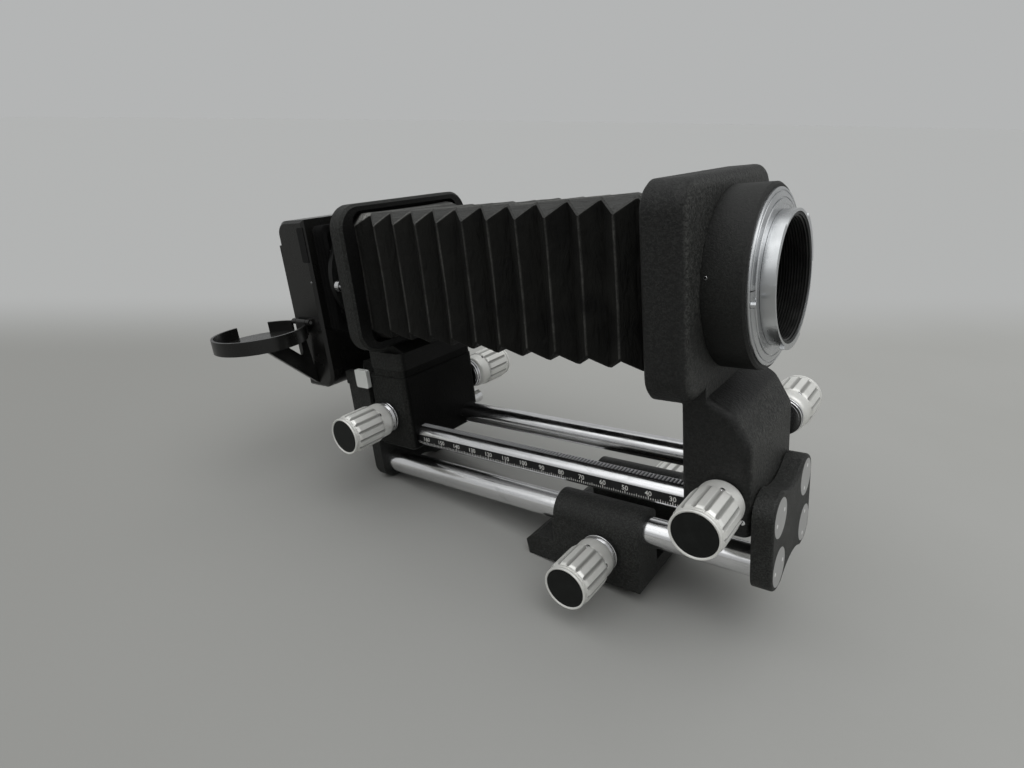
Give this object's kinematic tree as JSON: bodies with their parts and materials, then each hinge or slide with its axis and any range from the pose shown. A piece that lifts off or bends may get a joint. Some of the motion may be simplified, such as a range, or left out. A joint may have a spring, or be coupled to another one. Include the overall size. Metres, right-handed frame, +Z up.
{
  "type": "macro bellows unit",
  "caption": "Close-up bellows on a geared rod rail, with sliding camera and lens standards, a tripod block and a slide copier with hinged film trays.",
  "frame": {"origin": "centre of the tripod socket's mouth, in the bottom face of the tripod block", "axes": "+X along the rail towards the camera mount, -Y the side with the scale and drive knobs, +Z up"},
  "size_m": [0.263, 0.1554, 0.1606],
  "materials": {
    "black_casting": "cast alloy with fine black wrinkle enamel",
    "copier_enamel": "cast alloy with fine dark grey wrinkle enamel",
    "black_anodised": "satin black anodised",
    "satin_aluminium": "turned and satin anodised",
    "chrome": "polished chrome plate",
    "bright_steel": "ground steel",
    "rack_steel": "milled steel, darkened with grease",
    "satin_chrome": "satin chrome plate",
    "cap_black": "satin black inlay",
    "brass_bush": "machined brass",
    "bellows_leatherette": "pleated black leatherette on card",
    "hood_fabric": "pleated black cloth",
    "opal": "white diffusing plate",
    "scale_black": "black strip with white graduations"
  },
  "bodies": {
    "rails": {"rod_upper_near": "chrome", "rod_upper_far": "chrome", "rod_lower_near": "chrome", "rod_lower_far": "chrome", "rack_upper": "rack_steel", "rack_lower": "rack_steel", "rod_end_discs": "satin_aluminium", "end_plate_camera": "black_casting", "end_plate_lens": "black_casting", "scale_strip": "scale_black", "bellows_camera_half": "bellows_leatherette", "bellows_lens_half": "bellows_leatherette", "copier_bracket": "black_casting"},
    "camera_standard": {"camera_standard": "black_casting"},
    "camera_mount": {"camera_mount_drum": "black_casting", "camera_mount_flange": "satin_chrome", "camera_bayonet": "satin_chrome", "camera_mount_liner": "black_anodised", "camera_mount_keeper": "black_anodised", "camera_mount_latch_pin": "satin_chrome"},
    "camera_drive": {"camera_drive_knob": "satin_aluminium", "camera_drive_knob_cap": "cap_black", "camera_drive_pinion_shaft": "chrome"},
    "camera_lock": {"camera_lock_knob": "satin_aluminium", "camera_lock_knob_cap": "cap_black", "camera_lock_screw": "chrome"},
    "lens_carriage": {"lens_carriage": "black_casting"},
    "lens_drive": {"lens_drive_knob": "satin_aluminium", "lens_drive_knob_cap": "cap_black", "lens_drive_pinion_shaft": "chrome"},
    "lens_lock": {"lens_lock_knob": "satin_aluminium", "lens_lock_knob_cap": "cap_black", "lens_lock_screw": "chrome"},
    "lens_trim": {"lens_trim_screw": "chrome"},
    "lens_swing": {"lens_swing_plate": "black_anodised"},
    "lens_panel": {"lens_panel": "black_casting", "lens_mount_seat": "black_anodised", "lens_mount_ring": "satin_chrome", "lens_mount_throat": "black_anodised"},
    "lens_release": {"lens_release_pin": "chrome"},
    "tripod_block": {"tripod_block": "black_casting", "tripod_bush": "brass_bush"},
    "block_drive": {"block_drive_knob": "satin_aluminium", "block_drive_knob_cap": "cap_black", "block_drive_pinion_shaft": "chrome"},
    "block_lock": {"block_lock_knob": "satin_aluminium", "block_lock_knob_cap": "cap_black", "block_lock_screw": "chrome"},
    "copier": {"copier_housing": "copier_enamel", "copier_rail": "bright_steel", "copier_hinge_pins": "bright_steel", "copier_hood": "hood_fabric"},
    "copier_clamp": {"copier_clamp_lever": "satin_chrome"},
    "gate_frame": {"copier_gate_frame": "black_anodised"},
    "film_gate": {"copier_film_gate": "black_anodised"},
    "diffuser_door": {"copier_diffuser_door": "copier_enamel", "copier_opal_glass": "opal"},
    "film_tray_near": {"film_tray_near": "copier_enamel"},
    "film_tray_far": {"film_tray_far": "copier_enamel"},
    "hood_ring": {"copier_hood_ring": "black_anodised"}
  },
  "joints": [
    {"name": "camera_slide", "type": "slide", "parent": "rails", "child": "camera_standard", "axis": [1, 0, 0], "range_m": [-0.056, 0], "deforming": ["bellows_camera_half"]},
    {"name": "camera_drive_turn", "type": "hinge", "parent": "camera_standard", "child": "camera_drive", "pos_m": [0.053, -0.035, 0.0521], "axis": [0, 1, 0], "range_deg": [-1288, 4]},
    {"name": "camera_lock_turn", "type": "hinge", "parent": "camera_standard", "child": "camera_lock", "pos_m": [0.0575, 0.035, 0.063], "axis": [0, 1, 0], "range_deg": [0, 180]},
    {"name": "camera_mount_turn", "type": "hinge", "parent": "camera_standard", "child": "camera_mount", "pos_m": [0.0473, 0, 0.1247], "axis": [1, 0, 0], "range_deg": [0, 90]},
    {"name": "lens_slide", "type": "slide", "parent": "rails", "child": "lens_carriage", "axis": [1, 0, 0], "range_m": [0, 0.056], "deforming": ["bellows_lens_half"]},
    {"name": "lens_drive_turn", "type": "hinge", "parent": "lens_carriage", "child": "lens_drive", "pos_m": [-0.1175, -0.035, 0.0561], "axis": [0, 1, 0], "range_deg": [-4, 498]},
    {"name": "lens_lock_turn", "type": "hinge", "parent": "lens_carriage", "child": "lens_lock", "pos_m": [-0.1085, 0.035, 0.063], "axis": [0, 1, 0], "range_deg": [0, 180]},
    {"name": "lens_trim_turn", "type": "hinge", "parent": "lens_carriage", "child": "lens_trim", "pos_m": [-0.1095, 0.03, 0.0476], "axis": [0, 1, 0], "range_deg": [0, 180]},
    {"name": "lens_swing_turn", "type": "hinge", "parent": "lens_carriage", "child": "lens_swing", "pos_m": [-0.1145, 0, 0.077], "axis": [0, 0, 1], "range_deg": [-25, 25]},
    {"name": "lens_shift", "type": "slide", "parent": "lens_swing", "child": "lens_panel", "axis": [0, 1, 0], "range_m": [-0.01, 0.01]},
    {"name": "lens_release_push", "type": "slide", "parent": "lens_panel", "child": "lens_release", "axis": [1, 0, 0], "range_m": [0, 0.0012], "stiffness_N_per_m": 300, "springref_m": -0.001},
    {"name": "block_slide", "type": "slide", "parent": "rails", "child": "tripod_block", "axis": [1, 0, 0], "range_m": [-0.105, 0.04]},
    {"name": "block_drive_turn", "type": "hinge", "parent": "tripod_block", "child": "block_drive", "pos_m": [0.003, -0.035, 0.0151], "axis": [0, 1, 0], "range_deg": [-482, 1258]},
    {"name": "block_lock_turn", "type": "hinge", "parent": "tripod_block", "child": "block_lock", "pos_m": [0.003, 0.035, 0.0151], "axis": [0, 1, 0], "range_deg": [0, 180]},
    {"name": "copier_slide", "type": "slide", "parent": "rails", "child": "copier", "axis": [1, 0, 0], "range_m": [-0.008, 0]},
    {"name": "copier_clamp_turn", "type": "hinge", "parent": "rails", "child": "copier_clamp", "pos_m": [-0.1332, -0.028, 0.073], "axis": [0, 1, 0], "range_deg": [0, 60]},
    {"name": "gate_frame_rise", "type": "slide", "parent": "copier", "child": "gate_frame", "axis": [0, 0, 1], "range_m": [-0.006, 0.006]},
    {"name": "film_gate_shift", "type": "slide", "parent": "gate_frame", "child": "film_gate", "axis": [0, 1, 0], "range_m": [-0.005, 0.005]},
    {"name": "diffuser_door_turn", "type": "hinge", "parent": "copier", "child": "diffuser_door", "pos_m": [-0.1739, 0, 0.0797], "axis": [0, -1, 0], "range_deg": [0, 100]},
    {"name": "film_tray_near_fold", "type": "hinge", "parent": "copier", "child": "film_tray_near", "pos_m": [-0.164, -0.0338, 0.1043], "axis": [-1, 0, 0], "range_deg": [0, 90]},
    {"name": "film_tray_far_fold", "type": "hinge", "parent": "copier", "child": "film_tray_far", "pos_m": [-0.164, 0.0338, 0.1043], "axis": [1, 0, 0], "range_deg": [0, 90]},
    {"name": "hood_ring_slide", "type": "slide", "parent": "copier", "child": "hood_ring", "axis": [1, 0, 0], "range_m": [-0.006, 0], "deforming": ["copier_hood"]}
  ],
  "couplings": [
    {"joint": "camera_drive_turn", "follows": "camera_slide", "rad_per_m": 400},
    {"joint": "lens_drive_turn", "follows": "lens_slide", "rad_per_m": 153.85},
    {"joint": "block_drive_turn", "follows": "block_slide", "rad_per_m": -208.33}
  ]
}
